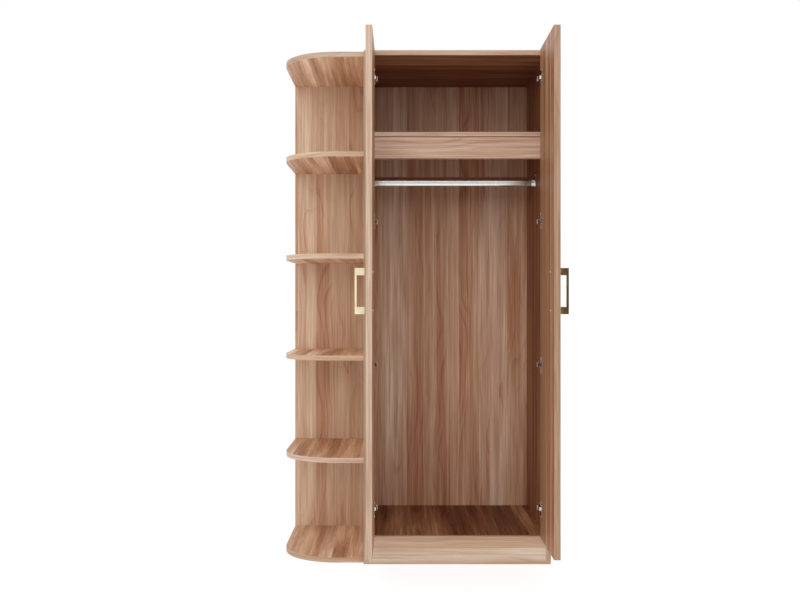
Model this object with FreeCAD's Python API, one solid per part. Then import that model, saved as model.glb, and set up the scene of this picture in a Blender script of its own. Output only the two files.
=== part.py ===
import FreeCAD
import Part
import math
import os

# Corner wardrobe: a two-door cabinet with open rounded shelves on its left-hand corner.
# Millimetres, X to the right, Y towards the wall, Z up. Both doors stand open by 90 degrees.
Vector = FreeCAD.Vector
along_x = Vector(1, 0, 0)
along_y = Vector(0, 1, 0)
along_z = Vector(0, 0, 1)

# Cabinet
height = 1800.0
cabinet_width = 656.0
cabinet_depth = 550.0
board = 18.0
edge_radius = 1.0

# Back panel, let into rebates of the side panels
back_board = 5.0
rebate_width = 9.0
rebate_clearance = 0.4

# Plinth
plinth_height = 98.0
kick_board_thickness = 18.0
rear_rail_thickness = 18.0
rear_rail_setback = 60.0

# Hat shelf with the apron board under its front edge
hat_space = 267.0
shelf_setback = 3.0
apron_height = 77.0
apron_thickness = 18.0

# Hanging rail of elliptic tube, in a socket at each end
rail_drop = 50.0
rail_setback = 268.0
rail_tall = 35.0
rail_wide = 17.5
rail_wall = 1.2
socket_plate = 3.0
socket_plate_wide = 25.0
socket_plate_rise = 35.0
socket_plate_drop = 23.0
socket_wall = 2.0
socket_length = 14.0
socket_clearance = 0.2
socket_screw_rise = 26.0
socket_screw_radius = 2.0
socket_screw_grip_share = 0.65
socket_head_radius = 3.75
socket_head_height = 2.0

# Corner unit
corner_width = 294.0
corner_setback = 23.0
corner_radius = 200.0
corner_back_board = 14.0
corner_shelf_count = 4

# Doors
door_thickness = 21.0
door_overlay = 16.0
doors_middle_gap = 3.0
door_gap = 2.5
door_open_reveal = 8.0

# Handles: a flat bar on two blocks, each on a round post
handle_height = 954.0
handle_length = 150.0
handle_edge_distance = 80.0
handle_projection = 38.0
handle_bar_thickness = 6.5
handle_width = 12.0
handle_block_height = 23.5
handle_standoff = 6.0
handle_post_radius = 4.5
handle_screw_radius = 2.0
handle_screw_depth = 16.0
handle_head_radius = 4.0
handle_head_height = 2.5
handle_hole_clearance = 0.25

# Concealed hinges
hinge_count = 4
hinge_end_distance = 100.0
cup_radius = 17.5
cup_edge_distance = 5.0
cup_depth = 11.5
cup_wall = 1.0
cup_flange = 0.8
cup_flange_width = 38.0
cup_flange_length = 60.0
cup_flange_corner = 9.0
cup_bore_clearance = 0.15
cup_bore_end_gap = 0.3
cup_pin_edge_distance = 14.0
cup_pin_depth = 4.0
pin_radius = 1.25
pin_clearance = 0.08
link_width = 12.0
link_thickness = 2.0
link_eye_radius = 2.6
link_eye_sides = 8
link_knee_out = 2.0
link_knee_forward = 17.5
link_knee_cut = 3.5
link_side_gap = 0.5
arm_pin_setback = 8.0
arm_wall = 1.5
arm_nose = 3.6
arm_head_rise = 4.6
arm_head_drop = 4.2
arm_foot_top = 16.0
arm_foot_bottom = 10.0
arm_front_bend = 17.0
arm_rear_bend = 37.0
arm_length = 74.0
plate_front = 40.0
plate_rear = 72.0
plate_side_gap = 0.2
plate_wing_thickness = 2.5
plate_wing_reach = 24.0
plate_wing_width = 14.0
plate_wing_setback = 47.0

# Loose tongues, glued into grooves of the side panels and of the ends of the boards
tongue_width = 20.0
tongue_thickness_share = 0.22
tongue_in_side_share = 0.38
tongue_length_share = 0.6
tongue_clearance = 0.1
tongue_end_gap = 0.5

# Fits and cuts
screw_clearance = 0.15
cut_overrun = 2.0
match_tolerance = 0.001

# Places worked out from the sizes above
inner_half = cabinet_width / 2 - board
outer_half = cabinet_width / 2
back_face = cabinet_depth - back_board
door_width = inner_half + door_overlay - doors_middle_gap / 2
door_bottom = plinth_height
door_height = height - door_bottom
door_free_edge = door_open_reveal + door_width
corner_left = -outer_half - corner_width
corner_back_face = cabinet_depth - corner_back_board
hat_shelf_top = height - board - hat_space
shelf_bottom = hat_shelf_top - board
apron_bottom = shelf_bottom - apron_height
rail_height = apron_bottom - rail_drop
corner_shelf_pitch = height / (corner_shelf_count + 1)
rear_rail_front = back_face - rear_rail_setback - rear_rail_thickness
hinge_pitch = (door_height - 2 * hinge_end_distance) / (hinge_count - 1)
hinge_heights = [door_bottom + hinge_end_distance + hinge_pitch * step for step in range(hinge_count)]
handle_forward = door_free_edge - handle_edge_distance

# Pins of the hinge, measured inwards from the side panel's inner face and forwards from its front edge.
# The arm pin is as far from the cup pin of the closed door as from that of the open door.
closed_pin_in = cup_pin_edge_distance - door_overlay
closed_pin_forward = door_gap + cup_pin_depth
cup_pin_in = door_thickness - cup_pin_depth
cup_pin_forward = door_open_reveal + cup_pin_edge_distance
pin_travel_in = cup_pin_in - closed_pin_in
pin_travel_forward = cup_pin_forward - closed_pin_forward
pin_middle_in = (cup_pin_in + closed_pin_in) / 2
pin_middle_forward = (cup_pin_forward + closed_pin_forward) / 2
arm_pin_forward = -arm_pin_setback
arm_pin_in = pin_middle_in + (pin_middle_forward - arm_pin_forward) * pin_travel_forward / pin_travel_in
cup_centre_forward = door_open_reveal + cup_edge_distance + cup_radius
arm_inner_half = link_width / 2 + link_side_gap
arm_outer_half = arm_inner_half + arm_wall
cup_slot_half = math.sqrt((cup_radius - cup_wall) ** 2 - arm_inner_half ** 2)

# Sizes that follow the thickness of the boards
tongue_thickness = board * tongue_thickness_share
tongue_in_side = board * tongue_in_side_share
socket_screw_length = socket_plate + board * socket_screw_grip_share

# The origin is under the middle of the box round the whole wardrobe with its doors open
box_right = max(outer_half, inner_half + handle_projection)
origin = Vector((corner_left + box_right) / 2, (cabinet_depth - door_free_edge) / 2, 0)


def span_box(x_low, x_high, y_low, y_high, z_low, z_high):
    """Box between two corners."""
    return Part.makeBox(x_high - x_low, y_high - y_low, z_high - z_low, Vector(x_low, y_low, z_low))


def peg(start, direction, radius, length):
    """Round peg from a point along a direction."""
    return Part.makeCylinder(radius, length, start, direction)


def mirrored(shape):
    """The same piece on the other side of the cabinet."""
    return shape.mirror(Vector(0, 0, 0), along_x)


def cut_all(shape, tools):
    """Shape with every tool cut out of it."""
    return shape.cut(tools)


def eased(shape, edges):
    """Shape with the given edges rounded."""
    return shape.makeFillet(edge_radius, edges)


def front_edges(shape, y_front, direction):
    """Edges of a board that lie on its front face and run along a direction."""
    found = []
    for edge in shape.Edges:
        start = edge.Vertexes[0].Point
        end = edge.Vertexes[-1].Point
        on_front = max(abs(start.y - y_front), abs(end.y - y_front)) < match_tolerance
        run = end - start
        if on_front and abs(run.dot(direction)) > run.Length - match_tolerance:
            found.append(edge)
    return found


def upright_edges(shape):
    """Edges of a board that run up it."""
    return [edge for edge in shape.Edges if edge.BoundBox.ZLength > match_tolerance]


def stadium(x_low, x_high, y_middle, z_low, z_high, radius):
    """Upright plate with round ends, its length along Z and its thickness along X."""
    thickness = x_high - x_low
    upper = peg(Vector(x_low, y_middle, z_high - radius), along_x, radius, thickness)
    lower = peg(Vector(x_low, y_middle, z_low + radius), along_x, radius, thickness)
    middle = span_box(x_low, x_high, y_middle - radius, y_middle + radius, z_low + radius, z_high - radius)
    return middle.fuse([upper, lower]).removeSplitter()


def hinge_point(inwards, forwards, z=0.0):
    """Point given from the left side panel's inner face and front edge."""
    return Vector(inwards - inner_half, -forwards, z)


def hinge_prism(points, z_low, z_high):
    """Prism over an outline given as pairs of inwards and forwards distances."""
    corners = [hinge_point(inwards, forwards) for inwards, forwards in points]
    return level_prism(corners, z_low, z_high - z_low)


def flat_tongue(y_low, y_high, z_middle):
    """Limits in Y and Z of the tongue at the end of a level board."""
    middle = (y_low + y_high) / 2
    reach = (y_high - y_low) * tongue_length_share / 2
    return (middle - reach, middle + reach, z_middle - tongue_thickness / 2, z_middle + tongue_thickness / 2)


def upright_tongue(y_middle, z_low, z_high):
    """Limits in Y and Z of the tongue at the end of an upright board."""
    middle = (z_low + z_high) / 2
    reach = (z_high - z_low) * tongue_length_share / 2
    return (y_middle - tongue_thickness / 2, y_middle + tongue_thickness / 2, middle - reach, middle + reach)


def carcass_tongue_limits():
    """Limits of the tongues at one end of every board between the side panels."""
    return [
        flat_tongue(0, back_face, height - board / 2),
        flat_tongue(kick_board_thickness, back_face, plinth_height - board / 2),
        flat_tongue(shelf_setback, back_face, hat_shelf_top - board / 2),
        upright_tongue(shelf_setback + apron_thickness / 2, apron_bottom, shelf_bottom),
        upright_tongue(kick_board_thickness / 2, 0, plinth_height - board),
        upright_tongue(rear_rail_front + rear_rail_thickness / 2, 0, plinth_height - board)]


def corner_board_levels():
    """Heights of the undersides of the corner boards, from the floor up."""
    shelves = [corner_shelf_pitch * (step + 1) - board / 2 for step in range(corner_shelf_count)]
    return [0.0] + shelves + [height - board]


def corner_tongue_limits():
    """Limits of the tongues between the corner boards and the left side panel."""
    levels = corner_board_levels()
    return [flat_tongue(corner_setback, corner_back_face, level + board / 2) for level in levels]


def tongues_at(face_x, outwards, limits):
    """Tongues through a side panel's face, with outwards as the sign of X away from the panel."""
    ends = sorted([face_x - outwards * tongue_in_side, face_x + outwards * (tongue_width - tongue_in_side)])
    return [span_box(ends[0], ends[1], *limit) for limit in limits]


def grooves_at(face_x, outwards, limits):
    """Grooves for those tongues, a little wider and deeper than they are."""
    grooves = []
    for tongue in tongues_at(face_x, outwards, limits):
        box = tongue.BoundBox
        grooves.append(span_box(
            box.XMin - tongue_end_gap, box.XMax + tongue_end_gap,
            box.YMin - tongue_clearance, box.YMax + tongue_clearance,
            box.ZMin - tongue_clearance, box.ZMax + tongue_clearance))
    return grooves


def carcass_grooves():
    """Grooves at both ends of the boards between the side panels."""
    limits = carcass_tongue_limits()
    return grooves_at(-inner_half, 1, limits) + grooves_at(inner_half, -1, limits)


def socket_screw_places():
    """Heights of the screws of a rail socket."""
    return [rail_height + socket_screw_rise]


def side_panel():
    """Left side panel without the grooves of the corner unit."""
    panel = span_box(-outer_half, -inner_half, 0, cabinet_depth, 0, height)
    panel = eased(panel, front_edges(panel, 0, along_z))
    rebate = span_box(
        -inner_half - rebate_width, -inner_half + cut_overrun,
        back_face, cabinet_depth + cut_overrun, -cut_overrun, height + cut_overrun)
    screw_holes = []
    for z in socket_screw_places():
        start = Vector(-inner_half + cut_overrun, rail_setback, z)
        depth = cut_overrun + socket_screw_length - socket_plate + screw_clearance
        screw_holes.append(peg(start, along_x * -1, socket_screw_radius + screw_clearance, depth))
    return cut_all(panel, [rebate] + screw_holes + grooves_at(-inner_half, 1, carcass_tongue_limits()))


def cross_board(y_low, y_high, z_low, z_high):
    """Board between the side panels, with its front edges rounded and its ends grooved."""
    piece = span_box(-inner_half, inner_half, y_low, y_high, z_low, z_high)
    piece = eased(piece, front_edges(piece, y_low, along_x))
    return cut_all(piece, carcass_grooves())


def back_panel():
    """Thin back panel in the rebates of the side panels."""
    half = inner_half + rebate_width - rebate_clearance
    return span_box(-half, half, back_face, cabinet_depth, plinth_height - board, height)


def rail_profile_piece(x_low, x_high, grow):
    """Elliptic bar round the hanging rail's axis, grown on every side."""
    centre = Vector(x_low, rail_setback, rail_height)
    top = centre + along_z * (rail_tall / 2 + grow)
    back = centre + along_y * (rail_wide / 2 + grow)
    outline = Part.Wire(Part.Ellipse(top, back, centre).toShape())
    return Part.Face(outline).extrude(along_x * (x_high - x_low))


def hanging_rail():
    """Elliptic tube between the two sockets."""
    end = inner_half - socket_plate
    bore = rail_profile_piece(-end - cut_overrun, end + cut_overrun, -rail_wall)
    return rail_profile_piece(-end, end, 0).cut(bore)


def rail_socket():
    """Left rail socket: a screwed plate with an elliptic collar."""
    plate_face = -inner_half + socket_plate
    plate = stadium(
        -inner_half, plate_face, rail_setback, rail_height - socket_plate_drop,
        rail_height + socket_plate_rise, socket_plate_wide / 2)
    collar_end = plate_face + socket_length
    collar = rail_profile_piece(plate_face, collar_end, socket_clearance + socket_wall)
    hollow = rail_profile_piece(plate_face, collar_end + cut_overrun, socket_clearance)
    holes = []
    for z in socket_screw_places():
        start = Vector(-inner_half - cut_overrun, rail_setback, z)
        radius = socket_screw_radius + screw_clearance
        holes.append(peg(start, along_x, radius, socket_plate + 2 * cut_overrun))
    return cut_all(plate.fuse(collar.cut(hollow)).removeSplitter(), holes)


def socket_screws():
    """Screws of the left rail socket."""
    screws = []
    for z in socket_screw_places():
        seat = Vector(-inner_half + socket_plate, rail_setback, z)
        head = peg(seat, along_x, socket_head_radius, socket_head_height)
        shank = peg(seat, along_x * -1, socket_screw_radius, socket_screw_length)
        screws.append(head.fuse(shank).removeSplitter())
    return screws


def corner_board(z_low):
    """Corner board: a rectangle whose front left corner is a large quarter circle."""
    right = -outer_half
    centre = Vector(corner_left + corner_radius, corner_setback + corner_radius, z_low)
    diagonal = corner_radius * math.sqrt(0.5)
    back_right = Vector(right, corner_back_face, z_low)
    front_right = Vector(right, corner_setback, z_low)
    arc_start = Vector(centre.x, corner_setback, z_low)
    arc_middle = Vector(centre.x - diagonal, centre.y - diagonal, z_low)
    arc_end = Vector(corner_left, centre.y, z_low)
    back_left = Vector(corner_left, corner_back_face, z_low)
    outline = Part.Wire([
        Part.LineSegment(back_right, front_right).toShape(),
        Part.LineSegment(front_right, arc_start).toShape(),
        Part.Arc(arc_start, arc_middle, arc_end).toShape(),
        Part.LineSegment(arc_end, back_left).toShape(),
        Part.LineSegment(back_left, back_right).toShape()])
    piece = Part.Face(outline).extrude(along_z * board)
    return cut_all(piece, grooves_at(-outer_half, -1, corner_tongue_limits()))


def corner_back_panel():
    """Full-height back panel of the corner unit, with its free edge rounded."""
    panel = span_box(corner_left, -outer_half, corner_back_face, cabinet_depth, 0, height)
    free = [edge for edge in upright_edges(panel) if edge.CenterOfMass.x - corner_left < match_tolerance]
    return eased(panel, free)


def handle_screw_levels():
    """Heights of the two posts of a handle."""
    reach = (handle_length - handle_block_height) / 2
    return [handle_height - reach, handle_height + reach]


def door():
    """Left door with the bores for its hinge cups and handle screws."""
    outer = -inner_half
    panel = span_box(
        outer, outer + door_thickness, -door_free_edge, -door_open_reveal, door_bottom, height)
    panel = eased(panel, upright_edges(panel))
    holes = []
    for z in hinge_heights:
        seat = hinge_point(door_thickness + cut_overrun, cup_centre_forward, z)
        depth = cut_overrun + cup_depth + cup_bore_end_gap
        holes.append(peg(seat, along_x * -1, cup_radius + cup_bore_clearance, depth))
    for z in handle_screw_levels():
        start = hinge_point(-cut_overrun, handle_forward, z)
        radius = handle_screw_radius + handle_hole_clearance
        holes.append(peg(start, along_x, radius, door_thickness + 2 * cut_overrun))
    return cut_all(panel, holes)


def handle():
    """Left handle: an upright bar, two blocks and two round posts."""
    y_low = -handle_forward - handle_width / 2
    y_high = y_low + handle_width
    tip = -inner_half - handle_projection
    z_low = handle_height - handle_length / 2
    z_high = z_low + handle_length
    solid = span_box(tip, tip + handle_bar_thickness, y_low, y_high, z_low, z_high)
    block_end = -inner_half - handle_standoff
    pieces = []
    holes = []
    for z in handle_screw_levels():
        half = handle_block_height / 2
        pieces.append(span_box(tip, block_end, y_low, y_high, z - half, z + half))
        seat = hinge_point(0, handle_forward, z)
        pieces.append(peg(seat, along_x * -1, handle_post_radius, handle_standoff))
        holes.append(peg(seat, along_x * -1, handle_screw_radius + screw_clearance, handle_screw_depth))
    return cut_all(solid.fuse(pieces).removeSplitter(), holes)


def handle_screws():
    """Screws of the left handle, with their heads on the door's inner face."""
    screws = []
    for z in handle_screw_levels():
        seat = hinge_point(door_thickness, handle_forward, z)
        head = peg(seat, along_x, handle_head_radius, handle_head_height)
        length = door_thickness + handle_screw_depth - screw_clearance
        shank = peg(seat, along_x * -1, handle_screw_radius, length)
        screws.append(head.fuse(shank).removeSplitter())
    return screws


def hinge_cup(z):
    """Hinge cup: a round body with a flange and a slot for the link."""
    rim = hinge_point(door_thickness, cup_centre_forward, z)
    body = peg(rim, along_x * -1, cup_radius, cup_depth)
    flange = corner_cut_plate(rim)
    floor = rim.x - cup_depth + cup_wall
    slot = span_box(
        floor, rim.x + cup_flange + cut_overrun, rim.y - cup_slot_half, rim.y + cup_slot_half,
        z - arm_inner_half, z + arm_inner_half)
    return body.fuse(flange).cut(slot).removeSplitter()


def corner_cut_plate(rim):
    """Flange of a hinge cup: a plate on the door's inner face with its four corners cut off."""
    width = cup_flange_width / 2
    length = cup_flange_length / 2
    inner_width = width - cup_flange_corner
    inner_length = length - cup_flange_corner
    outline = [
        (width, inner_length), (inner_width, length), (-inner_width, length), (-width, inner_length),
        (-width, -inner_length), (-inner_width, -length), (inner_width, -length), (width, -inner_length)]
    corners = [rim + Vector(0, across, up) for across, up in outline]
    return Part.Face(Part.makePolygon(corners + corners[:1])).extrude(along_x * cup_flange)


def hinge_pin(inwards, forwards, z):
    """Hinge pin, riveted between the cheeks on each side of the link."""
    start = hinge_point(inwards, forwards, z - arm_inner_half)
    return peg(start, along_z, pin_radius, 2 * arm_inner_half)


def strip_side(points, offset):
    """Points beside a bent line, at a distance to its left or right."""
    side = []
    last = len(points) - 1
    for index, point in enumerate(points):
        before = point - points[max(index - 1, 0)]
        after = points[min(index + 1, last)] - point
        runs = [run.normalize() for run in (before, after) if run.Length > match_tolerance]
        normals = [Vector(-run.y, run.x, 0) for run in runs]
        mitre = (normals[0] + normals[-1]).normalize()
        side.append(point + mitre * (offset / mitre.dot(normals[0])))
    return side


def hinge_link(z):
    """Bent link from the arm pin over the door's edge into the cup."""
    arm_end = hinge_point(arm_pin_in, arm_pin_forward)
    cup_end = hinge_point(cup_pin_in, cup_pin_forward)
    knee = hinge_point(arm_pin_in + link_knee_out, link_knee_forward)
    bend_start = knee + (arm_end - knee).normalize() * link_knee_cut
    bend_end = knee + (cup_end - knee).normalize() * link_knee_cut
    line = [arm_end, bend_start, bend_end, cup_end]
    outline = strip_side(line, link_thickness / 2) + strip_side(line, -link_thickness / 2)[::-1]
    pieces = []
    holes = []
    for end in (arm_end, cup_end):
        pieces.append(level_prism(eye_outline(end), z - link_width / 2, link_width))
        start = end + along_z * (z - link_width / 2 - cut_overrun)
        holes.append(peg(start, along_z, pin_radius + pin_clearance, link_width + 2 * cut_overrun))
    strip = level_prism(outline, z - link_width / 2, link_width)
    return cut_all(strip.fuse(pieces).removeSplitter(), holes)


def eye_outline(centre):
    """Flat-sided eye round a pin."""
    step = 2 * math.pi / link_eye_sides
    turns = [step * (side + 0.5) for side in range(link_eye_sides)]
    radius = link_eye_radius / math.cos(step / 2)
    return [centre + Vector(math.cos(turn), math.sin(turn), 0) * radius for turn in turns]


def level_prism(corners, z_low, thickness):
    """Prism of a given thickness over a level outline."""
    face = Part.Face(Part.makePolygon(corners + corners[:1]))
    face.translate(along_z * z_low)
    return face.extrude(along_z * thickness)


def hinge_arm(z):
    """Cranked hinge arm: a channel over its mounting plate, with the arm pin between its cheeks."""
    head_low = arm_pin_in - arm_head_drop
    head_high = arm_pin_in + arm_head_rise
    nose = arm_pin_forward + arm_nose
    outline = [
        (arm_foot_bottom, -arm_length), (arm_foot_bottom, -arm_rear_bend), (head_low, -arm_front_bend),
        (head_low, nose), (head_high, nose), (head_high, -arm_front_bend),
        (arm_foot_top, -arm_rear_bend), (arm_foot_top, -arm_length)]
    inside = [(inwards - arm_wall, forwards) for inwards, forwards in outline]
    channel = hinge_prism(outline, z - arm_outer_half, z + arm_outer_half)
    return channel.cut(hinge_prism(inside, z - arm_inner_half, z + arm_inner_half))


def hinge_plate(z):
    """Mounting plate on the side panel: a block inside the arm's channel and two wings."""
    half = arm_inner_half - plate_side_gap
    block = hinge_prism(
        [(0, -plate_rear), (0, -plate_front), (arm_foot_top - arm_wall, -plate_front),
         (arm_foot_top - arm_wall, -plate_rear)], z - half, z + half)
    wing_front = -plate_wing_setback + plate_wing_width / 2
    wing_rear = -plate_wing_setback - plate_wing_width / 2
    wings = hinge_prism(
        [(0, wing_rear), (0, wing_front), (plate_wing_thickness, wing_front),
         (plate_wing_thickness, wing_rear)], z - plate_wing_reach, z + plate_wing_reach)
    return block.fuse(wings).removeSplitter()


def group(solids):
    """Several separate solids as one shape."""
    return Part.makeCompound(solids)


def carcass_nodes():
    """Boards of the cabinet, its rail and its tongues."""
    side = side_panel()
    rear_rail_back = rear_rail_front + rear_rail_thickness
    limits = carcass_tongue_limits()
    socket = rail_socket()
    left_screws = socket_screws()
    return {
        "left_side_panel": cut_all(side, grooves_at(-outer_half, -1, corner_tongue_limits())),
        "right_side_panel": mirrored(side),
        "top_panel": cross_board(0, back_face, height - board, height),
        "bottom_panel": cross_board(kick_board_thickness, back_face, plinth_height - board, plinth_height),
        "kick_board": cross_board(0, kick_board_thickness, 0, plinth_height),
        "rear_plinth_rail": cross_board(rear_rail_front, rear_rail_back, 0, plinth_height - board),
        "back_panel": back_panel(),
        "hat_shelf": cross_board(shelf_setback, back_face, shelf_bottom, hat_shelf_top),
        "shelf_apron": cross_board(
            shelf_setback, shelf_setback + apron_thickness, apron_bottom, shelf_bottom),
        "hanging_rail": hanging_rail(),
        "rail_sockets": group([socket, mirrored(socket)]),
        "rail_socket_screws": group(left_screws + [mirrored(screw) for screw in left_screws]),
        "carcass_tongues": group(tongues_at(-inner_half, 1, limits) + tongues_at(inner_half, -1, limits)),
    }


def corner_nodes():
    """Boards of the corner unit and the tongues that hold them to the cabinet."""
    levels = corner_board_levels()
    nodes = {
        "corner_back_panel": corner_back_panel(),
        "corner_bottom": corner_board(levels[0]),
        "corner_top": corner_board(levels[-1]),
        "corner_tongues": group(tongues_at(-outer_half, -1, corner_tongue_limits())),
    }
    for number, level in enumerate(levels[1:-1], start=1):
        nodes["corner_shelf_%d" % number] = corner_board(level)
    return nodes


def door_nodes():
    """Pieces of the left door and of its hinges, without the side in their names."""
    return {
        "door": door(),
        "handle": handle(),
        "handle_screws": group(handle_screws()),
        "hinge_cups": group([hinge_cup(z) for z in hinge_heights]),
        "hinge_links": group([hinge_link(z) for z in hinge_heights]),
        "hinge_arms": group([hinge_arm(z) for z in hinge_heights]),
        "hinge_plates": group([hinge_plate(z) for z in hinge_heights]),
        "hinge_arm_pins": group([hinge_pin(arm_pin_in, arm_pin_forward, z) for z in hinge_heights]),
        "hinge_cup_pins": group([hinge_pin(cup_pin_in, cup_pin_forward, z) for z in hinge_heights]),
    }


def all_nodes():
    """Every node of the wardrobe by name, in the cabinet's own place."""
    nodes = carcass_nodes()
    nodes.update(corner_nodes())
    for name, shape in door_nodes().items():
        nodes["left_" + name] = shape
        nodes["right_" + name] = mirrored(shape)
    return nodes


os.makedirs("parts", exist_ok=True)
for node_name, node_shape in all_nodes().items():
    node_shape.translate(origin * -1)
    node_shape.exportStep("parts/%s.step" % node_name)
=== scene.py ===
"""Dresses the corner wardrobe: wood-grain boards, hinges, rail, handles, studio and camera."""

import logging
import math
from dataclasses import dataclass, field, replace
from enum import Enum
from typing import Optional, Sequence, Union

import bmesh
import bpy
from mathutils import Matrix, Vector


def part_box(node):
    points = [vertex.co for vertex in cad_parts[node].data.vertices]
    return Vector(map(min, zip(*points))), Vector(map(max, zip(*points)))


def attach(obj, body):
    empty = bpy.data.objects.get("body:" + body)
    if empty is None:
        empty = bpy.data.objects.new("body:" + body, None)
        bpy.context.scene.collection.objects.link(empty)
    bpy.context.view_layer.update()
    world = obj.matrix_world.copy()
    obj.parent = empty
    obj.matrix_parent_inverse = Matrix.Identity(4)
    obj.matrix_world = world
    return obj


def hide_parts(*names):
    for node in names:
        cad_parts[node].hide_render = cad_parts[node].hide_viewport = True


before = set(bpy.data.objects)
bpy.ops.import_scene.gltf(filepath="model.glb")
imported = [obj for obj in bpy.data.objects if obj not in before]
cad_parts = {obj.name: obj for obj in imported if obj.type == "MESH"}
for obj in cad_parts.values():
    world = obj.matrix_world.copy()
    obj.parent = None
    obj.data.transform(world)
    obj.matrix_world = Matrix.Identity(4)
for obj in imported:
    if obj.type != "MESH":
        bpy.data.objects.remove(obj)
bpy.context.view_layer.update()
log = logging.getLogger("wardrobe")

Colour = tuple[float, float, float]
Point = tuple[float, float, float]
Range = tuple[float, float]
Box = tuple[Vector, Vector]
Seat = tuple[Vector, Vector]
Socket = bpy.types.NodeSocket
Feed = Union[Socket, float, Colour]
Lie = tuple[Socket, Socket, Socket]

MILLIMETRE = 0.001
WHITE: Colour = (1.0, 1.0, 1.0)
DARK_CLOTH: Colour = (0.050, 0.030, 0.020)

# Range that holds most values of a noise texture, and the finer layers of a fine one
NOISE_RANGE: Range = (0.3, 0.7)
FINE_DETAIL = 2.0

# Places of the colour sockets on a mix node
MIX_FIRST = 6
MIX_SECOND = 7
MIX_RESULT = 2

# A face looks along a direction where its normal leans this far that way
FACING_LIMIT = 0.5

# Points nearer than this are joined, and edges sharper than this are rounded
WELD_REACH = 0.002 * MILLIMETRE
SHARP_ANGLE = math.radians(50)


class Axis(Enum):
    """Row axis that a grain or a board follows."""

    X = 0
    Y = 1
    Z = 2


class Side(Enum):
    """Side of the cabinet, with the sign of X that points into the cabinet."""

    LEFT = 1
    RIGHT = -1

    @property
    def prefix(self) -> str:
        """Start of the names of this side's nodes."""
        return "left_" if self is Side.LEFT else "right_"

    @property
    def facing(self) -> Vector:
        """Direction from this side into the cabinet."""
        return Vector((self.value, 0.0, 0.0))

    def inner(self, low: Vector, high: Vector) -> float:
        """X of the face of a box that looks into the cabinet."""
        return high.x if self is Side.LEFT else low.x

    def outer(self, low: Vector, high: Vector) -> float:
        """X of the face of a box that looks away from the cabinet's middle."""
        return low.x if self is Side.LEFT else high.x


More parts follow.
